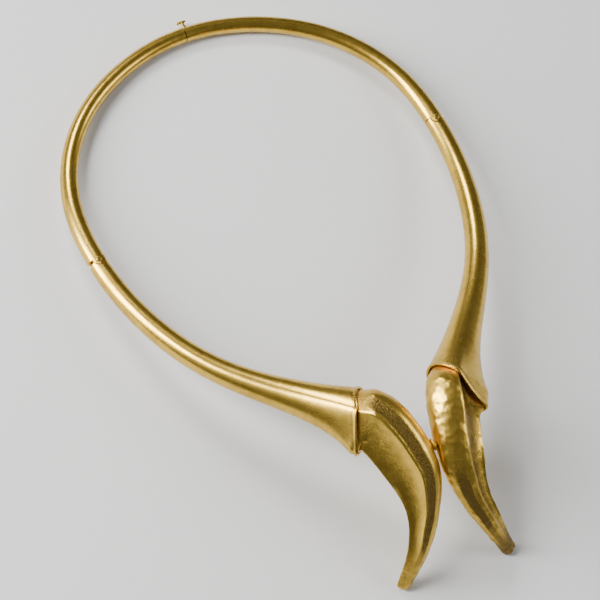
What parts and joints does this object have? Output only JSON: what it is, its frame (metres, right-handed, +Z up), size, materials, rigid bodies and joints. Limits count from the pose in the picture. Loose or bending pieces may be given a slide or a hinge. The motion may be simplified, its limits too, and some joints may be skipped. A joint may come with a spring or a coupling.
{
  "type": "hinged torc necklace",
  "caption": "Rigid collar of tapering gold tube, hinged at the sides and clasped behind, with fluted horns set back to back in flared bells.",
  "frame": {"origin": "on the surface that the torc lies on, under the middle of its outline", "axes": "+Y from the horns to the clasp, +X to the right with the horns pointing towards the viewer, +Z up"},
  "size_m": [0.1318, 0.2042, 0.0391],
  "materials": {
    "polished_gold": "satin polished gold with fine scratches along the tube",
    "hammered_gold": "hammered backs, stippled flutes"
  },
  "bodies": {
    "front": {"front_arm_right": "polished_gold", "front_arm_left": "polished_gold", "terminal_right": "hammered_gold", "terminal_left": "hammered_gold", "hinge_pin_right": "polished_gold", "hinge_pin_left": "polished_gold"},
    "back_right": {"back_arc_right": "polished_gold"},
    "back_left": {"back_arc_left": "polished_gold", "clasp_tongue": "polished_gold"}
  },
  "joints": [
    {"name": "hinge_right", "type": "hinge", "parent": "front", "child": "back_right", "pos_m": [0.0627, 0.0374, 0.009], "axis": [0, 0, -1], "range_deg": [0, 26]},
    {"name": "hinge_left", "type": "hinge", "parent": "front", "child": "back_left", "pos_m": [-0.0626, 0.0336, 0.009], "axis": [0, 0, 1], "range_deg": [0, 26]}
  ],
  "couplings": [
    {"joint": "hinge_left", "follows": "hinge_right", "ratio": 1}
  ]
}
